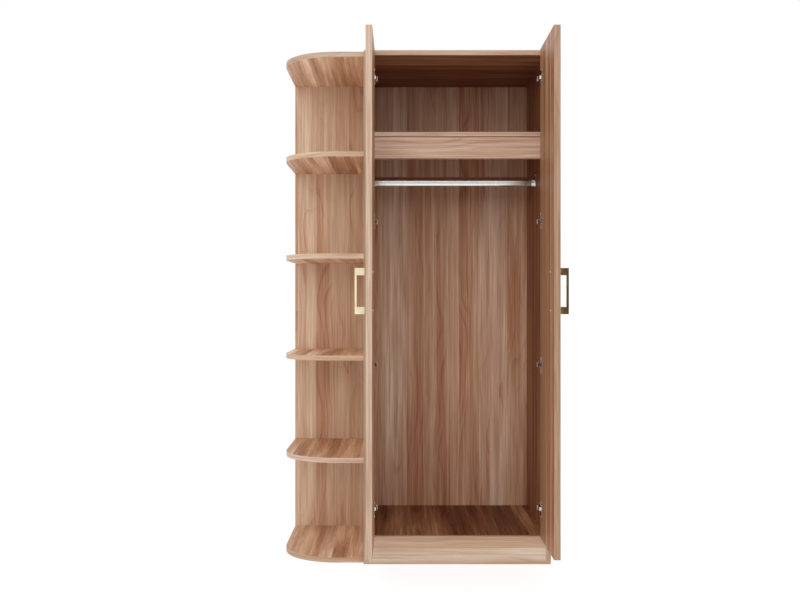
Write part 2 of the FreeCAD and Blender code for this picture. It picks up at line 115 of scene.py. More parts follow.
class Graph:
    """Adds and joins the nodes of one material or world."""

    def __init__(self, owner: Union[bpy.types.Material, bpy.types.World]) -> None:
        """Empties the owner's node tree.

        Args:
            owner: Material or world whose nodes are built.
        """
        owner.use_nodes = True
        self.tree = owner.node_tree
        self.tree.nodes.clear()

    def add(self, kind: str, **settings: object) -> bpy.types.Node:
        """Adds a node.

        Args:
            kind: Node type.
            settings: Properties of the node to set.

        Returns:
            The new node.
        """
        node = self.tree.nodes.new(kind)
        for name, value in settings.items():
            setattr(node, name, value)
        return node

    def feed(self, socket: Socket, value: Feed) -> None:
        """Joins a socket to another, or sets its value.

        Args:
            socket: Input socket.
            value: Output socket, number or colour.
        """
        if isinstance(value, bpy.types.NodeSocket):
            self.tree.links.new(value, socket)
        elif isinstance(value, tuple) and socket.type == "RGBA":
            socket.default_value = (*value, 1.0)
        else:
            socket.default_value = value

    def math(self, operation: str, first: Feed, second: Feed = 0.0) -> Socket:
        """Adds a math node.

        Args:
            operation: Name of the operation.
            first: First value.
            second: Second value.

        Returns:
            The result.
        """
        node = self.add("ShaderNodeMath", operation=operation)
        self.feed(node.inputs[0], first)
        self.feed(node.inputs[1], second)
        return node.outputs[0]

    def spread(self, value: Feed, low: float, high: float, new_low: float, new_high: float) -> Socket:
        """Maps a value smoothly from one range to another.

        Args:
            value: Value to map.
            low: Start of the old range.
            high: End of the old range.
            new_low: Start of the new range.
            new_high: End of the new range.

        Returns:
            The mapped value.
        """
        node = self.add("ShaderNodeMapRange", interpolation_type="SMOOTHSTEP")
        for socket, number in zip(node.inputs, (value, low, high, new_low, new_high)):
            self.feed(socket, number)
        return node.outputs[0]

    def vector(self, x: Feed, y: Feed, z: Feed) -> Socket:
        """Joins three numbers into a vector.

        Args:
            x: First number.
            y: Second number.
            z: Third number.

        Returns:
            The vector.
        """
        node = self.add("ShaderNodeCombineXYZ")
        for socket, number in zip(node.inputs, (x, y, z)):
            self.feed(socket, number)
        return node.outputs[0]

    def noise(self, vector: Socket, detail: float, bend: float = 0.0, w: Optional[Feed] = None) -> Socket:
        """Adds a noise texture at unit scale.

        Args:
            vector: Place in the noise.
            detail: Number of finer layers.
            bend: Distortion of the noise.
            w: Fourth place, where given.

        Returns:
            The noise between zero and one.
        """
        dimensions = "3D" if w is None else "4D"
        node = self.add("ShaderNodeTexNoise", noise_dimensions=dimensions)
        self.feed(node.inputs["Vector"], vector)
        self.feed(node.inputs["Scale"], 1.0)
        self.feed(node.inputs["Detail"], detail)
        self.feed(node.inputs["Distortion"], bend)
        if w is not None:
            self.feed(node.inputs["W"], w)
        return node.outputs["Fac"]

    def ramp(self, value: Socket, stops: Sequence[tuple[float, Colour]]) -> Socket:
        """Turns a number into a colour.

        Args:
            value: Number between zero and one.
            stops: Places and colours of the ramp.

        Returns:
            The colour.
        """
        node = self.add("ShaderNodeValToRGB")
        elements = node.color_ramp.elements
        while len(elements) < len(stops):
            elements.new(1.0)
        for element, (place, colour) in zip(elements, stops):
            element.position = place
            element.color = (*colour, 1.0)
        self.feed(node.inputs[0], value)
        return node.outputs[0]

    def mix(self, share: Feed, first: Feed, second: Feed, blend: str = "MIX") -> Socket:
        """Mixes two colours.

        Args:
            share: Share of the second colour.
            first: First colour.
            second: Second colour.
            blend: Way of mixing.

        Returns:
            The mixed colour.
        """
        node = self.add("ShaderNodeMix", data_type="RGBA", blend_type=blend)
        self.feed(node.inputs[0], share)
        self.feed(node.inputs[MIX_FIRST], first)
        self.feed(node.inputs[MIX_SECOND], second)
        return node.outputs[MIX_RESULT]

    def place(self) -> Lie:
        """Gives the piece's own X, Y and Z.

        Returns:
            The three coordinates in metres.
        """
        coordinates = self.add("ShaderNodeTexCoord").outputs["Object"]
        split = self.add("ShaderNodeSeparateXYZ")
        self.feed(split.inputs[0], coordinates)
        return split.outputs[0], split.outputs[1], split.outputs[2]

    def bump(self, height: Socket, strength: float, depth: float) -> Socket:
        """Turns a height into a normal.

        Args:
            height: Height between zero and one.
            strength: Strength of the bump.
            depth: Depth of the bump in metres.

        Returns:
            The normal.
        """
        node = self.add("ShaderNodeBump")
        self.feed(node.inputs["Strength"], strength)
        self.feed(node.inputs["Distance"], depth)
        self.feed(node.inputs["Height"], height)
        return node.outputs["Normal"]

    def surface(self, colour: Feed, roughness: Feed, normal: Socket, **values: float) -> None:
        """Ends the graph in a principled surface.

        Args:
            colour: Base colour.
            roughness: Roughness.
            normal: Bumped normal.
            values: Other sockets of the shader, by their names with underscores for spaces.
        """
        shader = self.add("ShaderNodeBsdfPrincipled")
        self.feed(shader.inputs["Base Color"], colour)
        self.feed(shader.inputs["Roughness"], roughness)
        self.feed(shader.inputs["Normal"], normal)
        for name, value in values.items():
            self.feed(shader.inputs[name.replace("_", " ")], value)
        output = self.add("ShaderNodeOutputMaterial")
        self.feed(output.inputs["Surface"], shader.outputs[0])


@dataclass(frozen=True)
class WoodFinish:
    """Printed wood grain of joined strips with flame figure, streaks and fine pores."""

    light: Colour = (0.820, 0.645, 0.500)
    middle: Colour = (0.735, 0.520, 0.362)
    olive: Colour = (0.645, 0.445, 0.300)
    red: Colour = (0.500, 0.240, 0.130)
    flame: Colour = (0.320, 0.112, 0.048)
    tint_places: tuple[float, ...] = (0.0, 0.25, 0.40, 0.60, 0.80, 1.0)
    strips_per_metre: float = 20.0
    strip_turn: float = 9.0
    strip_wander: float = 6 * MILLIMETRE
    wander_along: float = 1.3
    seam_width: float = 3 * MILLIMETRE
    seam_strength: float = 0.30
    flames_across: float = 13.0
    flames_along: float = 1.1
    flame_range: Range = (0.42, 0.68)
    figure_detail: float = 1.2
    figure_bend: float = 0.25
    band_strength: float = 0.80
    sway_across: float = 9.0
    sway_along: float = 2.4
    lines_across: float = 42.0
    rings: float = 7.0
    ring_fade: float = 0.4
    ring_outside_band: float = 0.15
    ring_height: float = -0.3
    ring_strength: float = 0.52
    streaks_across: float = 50.0
    streaks_along: float = 1.1
    streak_range: Range = (0.42, 0.72)
    streak_tones: Range = (0.94, 1.07)
    streak_red: float = 0.35
    fibres_across: float = 170.0
    fibres_along: float = 4.5
    fibre_tones: Range = (0.89, 1.13)
    pores_across: float = 1200.0
    pores_along: float = 24.0
    pore_tones: Range = (0.95, 1.04)
    pore_height: float = 0.7
    pore_roughness: float = 0.10
    tone_powers: Colour = (1.0, 1.5, 1.85)
    roughness: float = 0.40
    gloss: float = 0.3
    # The edge tone colours a band_width along each edge: above one it is lighter rubbed wear, below one
    # painted joint shadow.
    band_width: float = 1.2 * MILLIMETRE
    edge_wear_and_shadow_tone: float = 1.05
    edge_roughness: float = 0.06
    bump_strength: float = 0.25
    bump_depth: float = 0.15 * MILLIMETRE
    shift_along: float = 3.7
    shift_across: float = 1.3
    wraps: bool = False

    def tinted(self, tint: Colour) -> "WoodFinish":
        """Makes the same wood in another shade.

        Args:
            tint: Factors of red, green and blue.

        Returns:
            The shaded finish.
        """
        shades = {}
        for name in ("light", "middle", "olive", "red", "flame"):
            shades[name] = tuple(part * factor for part, factor in zip(getattr(self, name), tint))
        return replace(self, **shades)

    def material(self, name: str, grain: Axis, cross: Axis, shift: float, box: Box) -> bpy.types.Material:
        """Makes the material of one board.

        Args:
            name: Name of the material.
            grain: Axis that the grain runs along.
            cross: Axis across the grain in the board's wide face.
            shift: Number that sets this board's figure apart.
            box: Lowest and highest corners of the board.

        Returns:
            The material.
        """
        material = bpy.data.materials.new(name)
        graph = Graph(material)
        place = graph.place()
        third = next(axis for axis in Axis if axis not in (grain, cross))
        along = graph.math("ADD", place[grain.value], shift * self.shift_along)
        across = graph.math("ADD", place[cross.value], shift * self.shift_across)
        lie = (along, across, place[third.value])
        cell, seam = self._strips(graph, lie)
        tints = (self.light, self.light, self.middle, self.olive, self.middle, self.olive)
        tint = graph.ramp(cell, tuple(zip(self.tint_places, tints)))
        band, line = self._figure(graph, lie, cell, shift)
        colour = graph.mix(band, tint, self.red)
        streaks = self._drawn_out(graph, lie, self.streaks_along, self.streaks_across)
        colour = graph.mix(graph.spread(streaks, *self.streak_range, self.streak_red, 0.0), colour, self.red)
        colour = graph.mix(line, colour, self.flame)
        colour = graph.mix(seam, colour, self.light)
        fibres = self._drawn_out(graph, lie, self.fibres_along, self.fibres_across)
        pores = self._drawn_out(graph, lie, self.pores_along, self.pores_across)
        # Edge band: lighter rubbed wear on most boards, painted joint shadow where the edge tone is below
        # one.
        edge = self._edge(graph, place, box)
        tone = graph.spread(edge, 0.0, 1.0, 1.0, self.edge_wear_and_shadow_tone)
        layers = (
            (streaks, self.streak_tones), (fibres, self.fibre_tones), (pores, self.pore_tones))
        for noise, tones in layers:
            tone = graph.math("MULTIPLY", tone, graph.spread(noise, *NOISE_RANGE, *tones))
        shades = [graph.math("POWER", tone, power) for power in self.tone_powers]
        colour = graph.mix(1.0, colour, graph.vector(*shades), "MULTIPLY")
        pore_relief = graph.math("MULTIPLY", pores, self.pore_height)
        ring_relief = graph.math("MULTIPLY", line, self.ring_height)
        height = graph.math("ADD", pore_relief, ring_relief)
        roughness = graph.spread(pores, *NOISE_RANGE, self.roughness + self.pore_roughness, self.roughness)
        roughness = graph.math("ADD", roughness, graph.math("MULTIPLY", edge, self.edge_roughness))
        normal = graph.bump(height, self.bump_strength, self.bump_depth)
        graph.surface(colour, roughness, normal, Specular_IOR_Level=self.gloss)
        return material

    def _strips(self, graph: Graph, lie: Lie) -> tuple[Socket, Socket]:
        """Parts the board into strips of veneer.

        Args:
            graph: Graph to build in.
            lie: Places along, across and through the board.

        Returns:
            A random number of the strip, and the strength of the pale seam beside it.
        """
        along, across, _ = lie
        wander = graph.noise(graph.vector(0.0, 0.0, graph.math("MULTIPLY", along, self.wander_along)), 1.0)
        across = graph.math("ADD", across, graph.math("MULTIPLY", wander, self.strip_wander))
        found = {}
        for feature in ("F1", "DISTANCE_TO_EDGE"):
            strips = graph.add("ShaderNodeTexVoronoi", voronoi_dimensions="1D", feature=feature)
            graph.feed(strips.inputs["W"], across)
            graph.feed(strips.inputs["Scale"], self.strips_per_metre)
            found[feature] = strips.outputs
        split = graph.add("ShaderNodeSeparateColor")
        graph.feed(split.inputs[0], found["F1"]["Color"])
        reach = self.seam_width * self.strips_per_metre
        seam = graph.spread(found["DISTANCE_TO_EDGE"]["Distance"], 0.0, reach, self.seam_strength, 0.0)
        return split.outputs[0], seam

    def _figure(self, graph: Graph, lie: Lie, cell: Socket, shift: float) -> tuple[Socket, Socket]:
        """Draws the red flames of a flat cut, with year rings that sway along the grain.

        Args:
            graph: Graph to build in.
            lie: Places along, across and through the board.
            cell: Random number of the strip.
            shift: Number that sets this board's figure apart.

        Returns:
            Strength of the red flames, and of the dark ring lines.
        """
        turn = graph.math("ADD", graph.math("MULTIPLY", cell, self.strip_turn), shift)
        found = []
        for along_scale, across_scale in (
                (self.flames_along, self.flames_across), (self.sway_along, self.sway_across)):
            where = self._scaled(graph, lie, along_scale, across_scale, along_scale)
            found.append(graph.noise(where, self.figure_detail, self.figure_bend, turn))
        flames, sway = found
        band = graph.spread(flames, *self.flame_range, 0.0, 1.0)
        rings = graph.math("ADD", graph.math("MULTIPLY", lie[1], self.lines_across),
                           graph.math("MULTIPLY", sway, self.rings))
        line = graph.spread(graph.math("FRACT", rings), 0.0, self.ring_fade, 1.0, 0.0)
        line = graph.math("MULTIPLY", line, graph.spread(band, 0.0, 1.0, self.ring_outside_band, 1.0))
        line = graph.math("MULTIPLY", line, self.ring_strength)
        return graph.math("MULTIPLY", band, self.band_strength), line

    def _scaled(self, graph: Graph, lie: Lie, along_scale: float, across_scale: float,
                third_scale: float) -> Socket:
        """Scales a place on the board for a noise.

        Args:
            graph: Graph to build in.
            lie: Places along, across and through the board.
            along_scale: Spots per metre along the grain.
            across_scale: Spots per metre across the grain.
            third_scale: Spots per metre through the board.

        Returns:
            The place in the noise.
        """
        along, across, third = lie
        return graph.vector(
            graph.math("MULTIPLY", across, across_scale), graph.math("MULTIPLY", third, third_scale),
            graph.math("MULTIPLY", along, along_scale))

    def _drawn_out(self, graph: Graph, lie: Lie, along_scale: float, across_scale: float) -> Socket:
        """Gives noise that is drawn out along the grain.

        Args:
            graph: Graph to build in.
            lie: Places along, across and through the board.
            along_scale: Spots per metre along the grain.
            across_scale: Spots per metre across the grain.

        Returns:
            The noise.
        """
        third_scale = along_scale if self.wraps else across_scale
        return graph.noise(self._scaled(graph, lie, along_scale, across_scale, third_scale), FINE_DETAIL)

    def _edge(self, graph: Graph, place: Lie, box: Box) -> Socket:
        """Finds the edges of a board from its box: rubbed wear on most boards, painted joint shadow on the
        hat shelf and apron.

        Args:
            graph: Graph to build in.
            place: The piece's own coordinates.
            box: Lowest and highest corners of the board.

        Returns:
            One at an edge, and zero a band's width away from it.
        """
        gaps = []
        for axis in Axis:
            below = graph.math("SUBTRACT", place[axis.value], box[0][axis.value])
            above = graph.math("SUBTRACT", box[1][axis.value], place[axis.value])
            gaps.append(graph.math("MINIMUM", below, above))
        least = graph.math("MINIMUM", graph.math("MINIMUM", gaps[0], gaps[1]), gaps[2])
        most = graph.math("MAXIMUM", graph.math("MAXIMUM", gaps[0], gaps[1]), gaps[2])
        total = graph.math("ADD", graph.math("ADD", gaps[0], gaps[1]), gaps[2])
        median = graph.math("SUBTRACT", graph.math("SUBTRACT", total, least), most)
        return graph.spread(median, 0.0, self.band_width, 1.0, 0.0)


@dataclass(frozen=True)
class MetalFinish:
    """Plated metal with fine brushing, cloudy gloss and a little tarnish."""

    name: str
    colour: Colour
    roughness: float
    brush: Axis = Axis.Z
    brush_along: float = 60.0
    brush_across: float = 4000.0
    brush_depth: float = 0.02 * MILLIMETRE
    brush_strength: float = 0.12
    brush_tones: Range = (0.95, 1.0)
    clouds_per_metre: float = 45.0
    cloud_detail: float = 4.0
    cloud_gloss: Range = (0.8, 1.25)
    tarnish: Colour = (0.35, 0.30, 0.24)
    tarnish_range: Range = (0.52, 0.75)
    tarnish_share: float = 0.08

    def material(self) -> bpy.types.Material:
        """Makes the metal's material.

        Returns:
            The material.
        """
        material = bpy.data.materials.new(self.name)
        graph = Graph(material)
        place = graph.place()
        scales = [self.brush_along if axis is self.brush else self.brush_across for axis in Axis]
        fine = [graph.math("MULTIPLY", value, scale) for value, scale in zip(place, scales)]
        brush = graph.noise(graph.vector(*fine), FINE_DETAIL)
        coarse = [graph.math("MULTIPLY", value, self.clouds_per_metre) for value in place]
        cloud = graph.noise(graph.vector(*coarse), self.cloud_detail)
        stain = graph.math(
            "MULTIPLY", graph.spread(cloud, *self.tarnish_range, 0.0, 1.0), self.tarnish_share)
        colour = graph.mix(stain, self.colour, self.tarnish)
        tone = graph.spread(brush, *NOISE_RANGE, *self.brush_tones)
        colour = graph.mix(1.0, colour, graph.vector(tone, tone, tone), "MULTIPLY")
        glossy, dull = (self.roughness * factor for factor in self.cloud_gloss)
        roughness = graph.spread(cloud, *NOISE_RANGE, glossy, dull)
        normal = graph.bump(brush, self.brush_strength, self.brush_depth)
        graph.surface(colour, roughness, normal, Metallic=1.0)
        return material


def assign(node: str, *materials: bpy.types.Material) -> bpy.types.Object:
    """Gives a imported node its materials.

    Args:
        node: Name of the node.
        materials: Materials, in the order of the slots.

    Returns:
        The node's object.
    """
    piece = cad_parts[node]
    piece.data.materials.clear()
    for material in materials:
        piece.data.materials.append(material)
    for polygon in piece.data.polygons:
        polygon.material_index = 0
    log.info("dressed %s", node)
    return piece


def soften(piece: bpy.types.Object, width: float, segments: int = 2) -> None:
    """Rounds the sharp edges of a piece.

    Args:
        piece: Object to round.
        width: Width of the rounding in metres.
        segments: Steps of the rounding.
    """
    weld = piece.modifiers.new("joined_faces", "WELD")
    weld.merge_threshold = WELD_REACH
    bevel = piece.modifiers.new("eased_edges", "BEVEL")
    bevel.width = width
    bevel.segments = segments
    bevel.limit_method = "ANGLE"
    bevel.angle_limit = SHARP_ANGLE
    bevel.harden_normals = True


@dataclass(frozen=True)
class Board:
    """How the grain lies on one board."""

    node: str
    grain: Axis
    cross: Axis
    edge_grain: Axis
    edge_normals: tuple[Axis, ...]
    inner_way: Optional[Vector] = None
    edge_shift: float = 5.0
    inner_shift: float = 2.0

    def dress(self, wood: WoodFinish, lip: WoodFinish, shift: float,
              inner: Optional[WoodFinish] = None) -> bpy.types.Object:
        """Dresses the board's faces and its narrow edges.

        Args:
            wood: Finish of the wide faces.
            lip: Finish of the edge bands.
            shift: Number that sets this board's figure apart.
            inner: Finish of the wide face that looks into the cabinet, where it differs.

        Returns:
            The board's object.
        """
        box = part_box(self.node)
        edge_cross = next(axis for axis in Axis if axis not in (self.edge_grain, *self.edge_normals[:1]))
        materials = [
            wood.material("wood_" + self.node, self.grain, self.cross, shift, box),
            lip.material("edge_" + self.node, self.edge_grain, edge_cross, shift + self.edge_shift, box)]
        if inner is not None:
            inner_shift = shift + self.inner_shift
            materials.append(inner.material("inner_" + self.node, self.grain, self.cross, inner_shift, box))
        piece = assign(self.node, *materials)
        for polygon in piece.data.polygons:
            if any(abs(polygon.normal[axis.value]) > FACING_LIMIT for axis in self.edge_normals):
                polygon.material_index = 1
            elif inner is not None and polygon.normal.dot(self.inner_way) > FACING_LIMIT:
                polygon.material_index = 2
        return piece


@dataclass
class Carcass:
    """Boards of the cabinet."""

    wood: WoodFinish
    outside: WoodFinish
    front: WoodFinish
    pale: WoodFinish
    back: WoodFinish
    inner: WoodFinish
    floor: WoodFinish
    lip: WoodFinish
    shelf_tint: Colour = (1.08, 1.10, 1.14)
    joint_shadow_tone: float = 0.30
    joint_shadow_width: float = 3.0 * MILLIMETRE
    joint_bevel: float = 1.8 * MILLIMETRE
    shifts: dict[str, float] = field(default_factory=lambda: {
        "left_side_panel": 1.0, "right_side_panel": 2.0, "top_panel": 3.0, "bottom_panel": 4.2,
        "hat_shelf": 5.4, "back_panel": 6.6, "shelf_apron": 7.3, "carcass_tongues": 8.1,
        "kick_board": 8.3, "rear_plinth_rail": 9.3})

    def dress(self) -> None:
        """Dresses every board of the cabinet and its hidden tongues."""
        for side in Side:
            node = side.prefix + "side_panel"
            outer = self.wood if side is Side.LEFT else self.outside
            self._lay(Board(node, Axis.Z, Axis.Y, Axis.Z, (Axis.Y, Axis.Z), side.facing), outer, self.inner)
        down = Vector((0.0, 0.0, -1.0))
        top = Board("top_panel", Axis.X, Axis.Y, Axis.X, (Axis.Y, Axis.X), down)
        self._lay(top, self.outside, self.inner)
        bottom = Board("bottom_panel", Axis.Y, Axis.X, Axis.X, (Axis.Y, Axis.X), -down)
        self._lay(bottom, self.wood, self.floor)
        self._lay(Board("back_panel", Axis.Z, Axis.X, Axis.Z, (Axis.X, Axis.Z)), self.back)
        for node, finish in (("kick_board", self.pale), ("rear_plinth_rail", self.front)):
            self._lay(Board(node, Axis.X, Axis.Z, Axis.X, (Axis.Z, Axis.X)), finish)
        self._shelf()
        self._lay(Board("carcass_tongues", Axis.X, Axis.Y, Axis.X, (Axis.X,)), self.wood)

    def _lay(self, board: Board, wood: WoodFinish, inner: Optional[WoodFinish] = None) -> bpy.types.Object:
        """Dresses one board with its own figure and the cabinet's edge band."""
        return board.dress(wood, self.lip, self.shifts[board.node], inner)

    def _shelf(self) -> None:
        """Dresses the hat shelf and its apron, which meet in a dark joint line: a small groove from the
        rounded edges, with painted shadow along the edges of both boards.
        """
        # Painted shadow: the edges of both boards darken to this tone across this width.
        seam = {"edge_wear_and_shadow_tone": self.joint_shadow_tone, "band_width": self.joint_shadow_width}
        shelf = Board("hat_shelf", Axis.X, Axis.Y, Axis.X, (Axis.Y, Axis.X))
        shelf_lip = replace(self.lip.tinted(self.shelf_tint), **seam)
        soften(shelf.dress(self.inner, shelf_lip, self.shifts[shelf.node]), self.joint_bevel)
        apron = Board("shelf_apron", Axis.X, Axis.Z, Axis.X, (Axis.Z, Axis.X))
        soften(self._lay(apron, replace(self.front, **seam)), self.joint_bevel)


@dataclass
class CornerUnit:
    """Open corner shelves with rounded fronts."""

    wood: WoodFinish
    rear: WoodFinish
    level: WoodFinish
    lip: WoodFinish
    edge_width: float = 0.9 * MILLIMETRE
    back_shift: float = 9.9
    first_shift: float = 11.0
    shift_step: float = 0.618
    # Each corner board's edge band gets its own tint: partly a varied band tone, partly painted light and
    # shade.
    edge_tints_with_painted_light: dict[str, Colour] = field(default_factory=lambda: {
        "corner_top": (0.82, 0.77, 0.74), "corner_shelf_4": (1.00, 0.965, 0.87),
        "corner_shelf_3": (1.115, 1.21, 1.29), "corner_shelf_2": (1.00, 0.96, 0.91),
        "corner_shelf_1": (1.10, 1.12, 1.21), "corner_bottom": (0.955, 0.92, 0.905)})

    def dress(self) -> None:
        """Dresses the corner boards and their back panel."""
        names = sorted(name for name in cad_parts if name.startswith("corner_"))
        for number, node in enumerate(names):
            shift = self.first_shift + number * self.shift_step
            if node == "corner_back_panel":
                back = Board(node, Axis.Z, Axis.X, Axis.Z, (Axis.X, Axis.Z), Vector((0.0, -1.0, 0.0)))
                back.dress(self.rear, self.lip, self.back_shift, self.wood)
                continue
            lip = self.lip.tinted(self.edge_tints_with_painted_light.get(node, WHITE))
            piece = Board(node, Axis.Y, Axis.X, Axis.X, (Axis.Y, Axis.X)).dress(self.level, lip, shift)
            if node != "corner_tongues":
                soften(piece, self.edge_width)


@dataclass
class CrossScrew:
    """Round screw head with a cross recess, and with a shank where one is given."""

    radius: float
    height: float
    metal: bpy.types.Material
    recess: bpy.types.Material
    shank_radius: float = 0.0
    shank_length: float = 0.0
    arm_share: float = 0.62
    arm_width_share: float = 0.2
    depth_share: float = 0.7
    floor_share: float = 0.7
    sides: int = 24
    crown: tuple[Range, ...] = ((1.0, 0.0), (1.0, 0.35), (0.94, 0.68), (0.80, 0.9), (0.70, 1.0))

    def build(self, name: str, body: str, places: Sequence[Seat]) -> bpy.types.Object:
        """Builds screw heads at several places as one piece.

        Args:
            name: Name of the piece.
            body: Body that the piece rides on.
            places: Seats of the heads with the directions that they face.

        Returns:
            The piece.
        """
        shell = bmesh.new()
        for seat, facing in places:
            turn = facing.to_track_quat("Z", "Y").to_matrix().to_4x4()
            self._head(shell, Matrix.Translation(seat) @ turn)
        mesh = bpy.data.meshes.new(name)
        shell.to_mesh(mesh)
        shell.free()
        mesh.materials.append(self.metal)
        mesh.materials.append(self.recess)
        piece = bpy.data.objects.new(name, mesh)
        bpy.context.scene.collection.objects.link(piece)
        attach(piece, body)
        log.info("built %s with %d heads", name, len(places))
        return piece

    def _ring(self, shell: bmesh.types.BMesh, where: Matrix, radius: float,
              height: float) -> list[bmesh.types.BMVert]:
        """Adds one ring of the head.

        Args:
            shell: Mesh to add to.
            where: Place of the head.
            radius: Radius of the ring.
            height: Height of the ring.

        Returns:
            The ring's points.
        """
        turns = [2 * math.pi * side / self.sides for side in range(self.sides)]
        points = [Vector((radius * math.cos(turn), radius * math.sin(turn), height)) for turn in turns]
        return [shell.verts.new(where @ point) for point in points]

    def _cross(self, shell: bmesh.types.BMesh, where: Matrix, scale: float,
               height: float) -> list[bmesh.types.BMVert]:
        """Adds the outline of the cross recess.

        Args:
            shell: Mesh to add to.
            where: Place of the head.
            scale: Size of the cross against its mouth.
            height: Height of the outline.

        Returns:
            The outline's points.
        """
        reach = self.radius * self.arm_share * scale
        half = self.radius * self.arm_width_share / 2 * scale
        corners = []
        for quarter in range(4):
            spin = Matrix.Rotation(quarter * math.pi / 2, 3, "Z")
            for x, y in ((reach, -half), (reach, half), (half, half)):
                corners.append(spin @ Vector((x, y, 0.0)) + Vector((0.0, 0.0, height)))
        return [shell.verts.new(where @ corner) for corner in corners]

    def _head(self, shell: bmesh.types.BMesh, where: Matrix) -> None:
        """Adds one head and its shank.

        Args:
            shell: Mesh to add to.
            where: Place of the head.
        """
        rings = [self._ring(shell, where, self.radius * r, self.height * h) for r, h in self.crown]
        sharp = rings[:1]
        if self.shank_length > 0.0:
            shank = [self._ring(shell, where, self.shank_radius, end) for end in (-self.shank_length, 0.0)]
            sharp = shank + sharp
            rings = shank + rings
        shell.faces.new(rings[0][::-1])
        for below, above in zip(rings, rings[1:]):
            for side in range(self.sides):
                after = (side + 1) % self.sides
                face = shell.faces.new((below[side], below[after], above[after], above[side]))
                face.smooth = True
        for ring in sharp:
            for first, second in zip(ring, ring[1:] + ring[:1]):
                shell.edges.get((first, second)).smooth = False
        mouth = self._cross(shell, where, 1.0, self.height)
        floor = self._cross(shell, where, self.floor_share, self.height * (1.0 - self.depth_share))
        loops = []
        for loop in (rings[-1], mouth):
            for first, second in zip(loop, loop[1:] + loop[:1]):
                loops.append(shell.edges.get((first, second)) or shell.edges.new((first, second)))
        bmesh.ops.triangle_fill(shell, edges=loops, use_beauty=True, use_dissolve=False)
        for face in [found for found in mouth[0].link_faces if all(vert in mouth for vert in found.verts)]:
            shell.faces.remove(face)
        for index in range(len(mouth)):
            after = (index + 1) % len(mouth)
            wall = shell.faces.new((mouth[index], mouth[after], floor[after], floor[index]))
            wall.material_index = 1
        bottom = shell.faces.new(floor)
        bottom.material_index = 1


@dataclass
class HingeSet:
    """Concealed hinges of one door with their screws."""

    side: Side
    nickel: bpy.types.Material
    recess: bpy.types.Material
    count: int = 4
    end_distance: float = 100 * MILLIMETRE
    edge_width: float = 0.35 * MILLIMETRE
    cup_screw_reach: float = 24 * MILLIMETRE
    plate_screw_reach: float = 17.5 * MILLIMETRE
    wing_thickness: float = 2.5 * MILLIMETRE
    wing_from_front: float = 7 * MILLIMETRE
    arm_wall: float = 1.5 * MILLIMETRE
    arm_screws_from_front: tuple[float, ...] = (7 * MILLIMETRE, 22 * MILLIMETRE)
    wood_screw_radius: float = 3.4 * MILLIMETRE
    wood_screw_height: float = 1.1 * MILLIMETRE
    set_screw_radius: float = 4.0 * MILLIMETRE
    set_screw_height: float = 1.3 * MILLIMETRE
    plain_pieces: tuple[str, ...] = ("hinge_arm_pins", "hinge_cup_pins")
    edged_pieces: tuple[str, ...] = ("hinge_cups", "hinge_arms", "hinge_links", "hinge_plates")

    def levels(self) -> list[float]:
        """Gives the heights of the hinges.

        Returns:
            The heights in metres, from the lowest up.
        """
        low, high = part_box(self.side.prefix + "door")
        first = low.z + self.end_distance
        step = (high.z - low.z - 2 * self.end_distance) / (self.count - 1)
        return [first + step * number for number in range(self.count)]

    def dress(self) -> None:
        """Dresses the hinge nodes and adds the screws."""
        for name in self.plain_pieces:
            assign(self.side.prefix + name, self.nickel)
        for name in self.edged_pieces:
            soften(assign(self.side.prefix + name, self.nickel), self.edge_width, 1)
        self._screws()

    def _screws(self) -> None:
        """Adds the screws of the cups, plates and arms."""
        facing = self.side.facing
        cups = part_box(self.side.prefix + "hinge_cups")
        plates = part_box(self.side.prefix + "hinge_plates")
        cup_x = self.side.inner(*cups)
        cup_y = (cups[0].y + cups[1].y) / 2
        wing_x = self.side.outer(*plates) + self.side.value * self.wing_thickness
        wing_y = plates[0].y + self.wing_from_front
        web_x = self.side.inner(*plates) + self.side.value * self.arm_wall
        cup_places = []
        plate_places = []
        arm_places = []
        for level in self.levels():
            for way in (-1, 1):
                cup_places.append((Vector((cup_x, cup_y, level + way * self.cup_screw_reach)), facing))
                plate_places.append((Vector((wing_x, wing_y, level + way * self.plate_screw_reach)), facing))
            for setback in self.arm_screws_from_front:
                arm_places.append((Vector((web_x, plates[0].y + setback, level)), facing))
        prefix = self.side.prefix
        wood_screw = CrossScrew(self.wood_screw_radius, self.wood_screw_height, self.nickel, self.recess)
        set_screw = CrossScrew(self.set_screw_radius, self.set_screw_height, self.nickel, self.recess)
        wood_screw.build(prefix + "cup_screws", prefix + "door", cup_places)
        wood_screw.build(prefix + "plate_screws", "carcass", plate_places)
        set_screw.build(prefix + "arm_screws", "carcass", arm_places)


